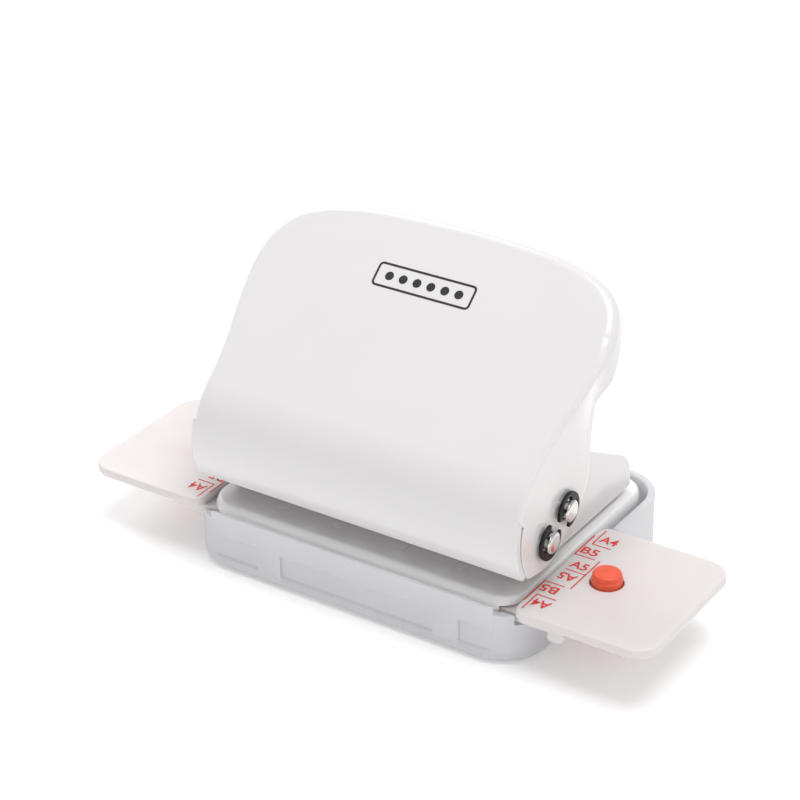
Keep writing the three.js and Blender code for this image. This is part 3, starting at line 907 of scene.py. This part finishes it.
for k, x in enumerate(punch_x):
    index = k + 1
    settle(punch_piece(index, x), f"punch_{index}", tool_steel, "tool_steel", f"punch_{index}")
    spring, foot = spring_piece(index, x)
    settle(spring, "base", spring_steel, "spring_steel", f"punch_spring_{index}")
    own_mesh(spring)

# ---- guide plates, their printed lines and their buttons ----
plate_low, plate_high = corners("guide_plate_right")
plate_inner, plate_outer, plate_half_y = 33.3, plate_high.x, plate_high.y
plate_thick = 1.75
button_x = 4.5 * pitch
button_radius = 2.75
button_height = 2.2
tongue_y = (8, 14)
peg_inner, peg_outer, peg_drop, peg_thick = 39.2, 42.2, 5.2, 1.4


def turned(piece, side):
    """The left plate is the right one turned half round."""
    if side < 0:
        piece.data.transform(Matrix.Rotation(math.pi, 4, "Z"))
    return piece


def plate_piece(side):
    outline = rounded(plate_inner, plate_outer, -plate_half_y, plate_half_y, (2, 4.5, 4.5, 2), 16)
    rings = []
    bottom = deck - plate_thick
    levels = [(0.3, bottom), (0.09, bottom + 0.09), (0, bottom + 0.3), (0, deck - 0.38)]
    levels += [(0.03, deck - 0.24), (0.11, deck - 0.11), (0.24, deck - 0.03), (0.4, deck)]
    centre = Vector(((plate_inner + plate_outer) / 2, 0))
    half = Vector(((plate_outer - plate_inner) / 2, plate_half_y))
    for inset, z in levels:
        ring = []
        for u, v in outline:
            x = centre.x + (u - centre.x) * (half.x - inset) / half.x
            y = v * (half.y - inset) / half.y
            ring.append((x, y, z))
        rings.append(ring)
    plate = rings_to_solid("plate", rings)
    under = bottom + 0.2
    peg_outline = rounded(peg_inner, peg_outer, deck - peg_drop, under, (0.4, 1.2, 0.02, 0.02), 6)
    for end in (-1, 1):
        y0, y1 = sorted((end * tongue_y[0], end * tongue_y[1]))
        join(plate, box(plate_inner + 0.5, 41, y0, y1, deck - 3.6, under))
        join(plate, box(23, plate_inner + 0.6, y0, y1, deck - 3.6, bottom))
    peg = prism("peg", peg_outline, -tongue_y[1], -tongue_y[1] + peg_thick)
    peg.data.transform(Matrix(((1, 0, 0, 0), (0, 0, 1, 0), (0, 1, 0, 0), (0, 0, 0, 1))))
    tidy(peg)
    join(plate, peg)
    hole = button_radius + fit
    drill = [(0, bottom - 1), (hole, bottom - 1), (hole, deck + 1), (0, deck + 1)]
    bore = lathe("bore", drill, (button_x, 0, 0))
    cut(plate, bore)
    smooth(plate, 40)
    return turned(plate, side)


def lettering(text, x0, x1, y0, y1, height, half_turn):
    curve = bpy.data.curves.new(text, "FONT")
    curve.body = text
    curve.offset = 0.02
    holder = bpy.data.objects.new(text, curve)
    bpy.context.scene.collection.objects.link(holder)
    flat = bpy.data.meshes.new_from_object(holder.evaluated_get(bpy.context.evaluated_depsgraph_get()))
    bpy.data.objects.remove(holder)
    points = np.array([v.co for v in flat.vertices])
    low, high = points.min(0), points.max(0)
    for v in flat.vertices:
        u = (v.co.x - low[0]) / (high[0] - low[0])
        w = (v.co.y - low[1]) / (high[1] - low[1])
        if half_turn:
            u, w = 1 - u, 1 - w
        v.co = Vector((x0 + (x1 - x0) * u, y0 + (y1 - y0) * w, height)) * MM
    return flat


def plate_marks(side):
    """Red lines where the sheet's edge goes for three paper sizes, each with its name."""
    line, thick, height = 0.26, 0.02, deck + 0.004
    bars = [(38.5 - line / 2, 38.5 + line / 2, -5.14, 5.14), (34.5, 38.5, 0.05 - line / 2, 0.05 + line / 2)]
    for half_turn in (False, True):
        for x, x_far, y_near, y_far in ((34.5, 38.2, 9.56, 14.66), (33.5, 37.4, 5.14, 12.3)):
            upright_line = (x - line / 2, x + line / 2, y_near, y_far)
            foot_line = (x, x_far, y_near - line / 2, y_near + line / 2)
            for x0, x1, y0, y1 in (upright_line, foot_line):
                bars.append((x0, x1, -y1, -y0) if half_turn else (x0, x1, y0, y1))
    work = bmesh.new()
    for x0, x1, y0, y1 in bars:
        bar = box(x0, x1, y0, y1, height, height + thick)
        work.from_mesh(bar.data)
        bpy.data.objects.remove(bar)
    for text, x0, x1, y0, y1 in (
        ("A4", 34.95, 38.3, 10.7, 13.0),
        ("B5", 33.85, 37.1, 6.0, 8.2),
        ("A5", 34.5, 37.8, 1.0, 3.2),
    ):
        for half_turn in (False, True):
            low, high = (-y1, -y0) if half_turn else (y0, y1)
            work.from_mesh(lettering(text, x0, x1, low, high, height + thick, half_turn))
    mesh = bpy.data.meshes.new("marks")
    work.to_mesh(mesh)
    work.free()
    marks = bpy.data.objects.new(f"plate_marks_{'left' if side < 0 else 'right'}", mesh)
    bpy.context.scene.collection.objects.link(marks)
    return turned(marks, side)


def button_piece(side):
    flange = deck - plate_thick - fit
    shelf = deck + 0.95
    profile = [(0, flange - 0.8), (button_radius + 0.8, flange - 0.8), (button_radius + 0.9, flange - 0.7)]
    profile += [(button_radius + 0.9, flange), (button_radius, flange), (button_radius, shelf)]
    profile += [(button_radius - 0.04, shelf + 0.08), (button_radius - 0.16, shelf + 0.12)]
    profile += [(button_radius - 0.16, deck + button_height - 0.55)]
    for k in range(1, 7):
        turn = math.pi / 2 * k / 6
        profile.append(
            (
                button_radius - 0.16 - 0.5 * (1 - math.cos(turn)),
                deck + button_height - 0.55 + 0.5 * math.sin(turn),
            )
        )
    profile += [(1.2, deck + button_height), (0, deck + button_height)]
    piece = lathe("button", profile, (button_x, 0, 0), segments=64)
    smooth(piece, 50)
    return turned(piece, side)


for name, side in SIDES:
    plate = plate_piece(side)
    plate.name = f"guide_plate_{name}_shown"
    settle(plate, f"guide_{name}", milky_plastic, "milky_plastic", f"guide_plate_{name}")
    settle(plate_marks(side), f"guide_{name}", red_ink, "coral_plastic")
    button = button_piece(side)
    button.name = f"locating_button_{name}_shown"
    settle(button, f"guide_{name}", coral_plastic, "coral_plastic", f"locating_button_{name}")

# ---- camera, light and floor ----


def studio():
    azimuth, elevation, roll = math.radians(33.75), math.radians(28.49), math.radians(-0.76)
    distance, lens_px = 434.56, 2410.4
    right = Vector((math.cos(azimuth), math.sin(azimuth), 0))
    back = Vector(
        (
            math.sin(azimuth) * math.cos(elevation),
            -math.cos(azimuth) * math.cos(elevation),
            math.sin(elevation),
        )
    )
    up = back.cross(right)
    right, up = (
        right * math.cos(roll) + up * math.sin(roll),
        up * math.cos(roll) - right * math.sin(roll),
    )
    place = back * distance + right * 0.183 + up * 20.455 + Vector((0, 0, deck))
    data = bpy.data.cameras.new("camera")
    data.sensor_width = 36
    data.lens = lens_px * 36 / 800
    data.clip_start = 0.01
    camera = bpy.data.objects.new("camera", data)
    camera.matrix_world = Matrix.Translation(place * MM) @ Matrix((right, up, back)).transposed().to_4x4()
    bpy.context.scene.collection.objects.link(camera)
    bpy.context.scene.camera = camera

    world = bpy.data.worlds.new("world")
    world.use_nodes = True
    background = world.node_tree.nodes["Background"]
    background.inputs["Color"].default_value = (1, 1, 1, 1)
    background.inputs["Strength"].default_value = 0.57
    bpy.context.scene.world = world

    for name, size, power, where in (
        ("key", (0.4, 0.4), 1.25, (-0.45, 0.25, 0.45)),
        ("fill", (0.05, 0.5), 0.3, (0.67, -0.1, 0.45)),
        ("over", (0.5, 0.5), 3.3, (0.12, 0.05, 0.78)),
    ):
        light = bpy.data.lights.new(name, "AREA")
        light.shape = "RECTANGLE"
        light.size, light.size_y = size
        light.energy = power
        lamp = bpy.data.objects.new(name, light)
        lamp.location = where
        lamp.rotation_euler = (Vector((0, 0.01, 0.03)) - Vector(where)).to_track_quat("-Z", "Y").to_euler()
        bpy.context.scene.collection.objects.link(lamp)

    floor_mesh = bpy.data.meshes.new("floor")
    floor_half = 3.0
    edge = [(u * floor_half, v * floor_half, 0) for u, v in ((-1, -1), (1, -1), (1, 1), (-1, 1))]
    floor_mesh.from_pydata(edge, [], [(0, 1, 2, 3)])
    floor = bpy.data.objects.new("floor", floor_mesh)
    floor.location.z = cad_low.z - 0.0002
    bpy.context.scene.collection.objects.link(floor)
    paper = Shader("floor_paper", Roughness=0.8, Specular_IOR_Level=0.2, Emission_Strength=0.17)
    paper.shader.inputs["Emission Color"].default_value = (1, 1, 1, 1)
    paper.tint(paper.noise(3, 2), (0.93, 0.93, 0.93), (0.95, 0.95, 0.95))
    floor.data.materials.append(paper.material)
    bpy.context.scene.view_settings.view_transform = "Standard"


studio()
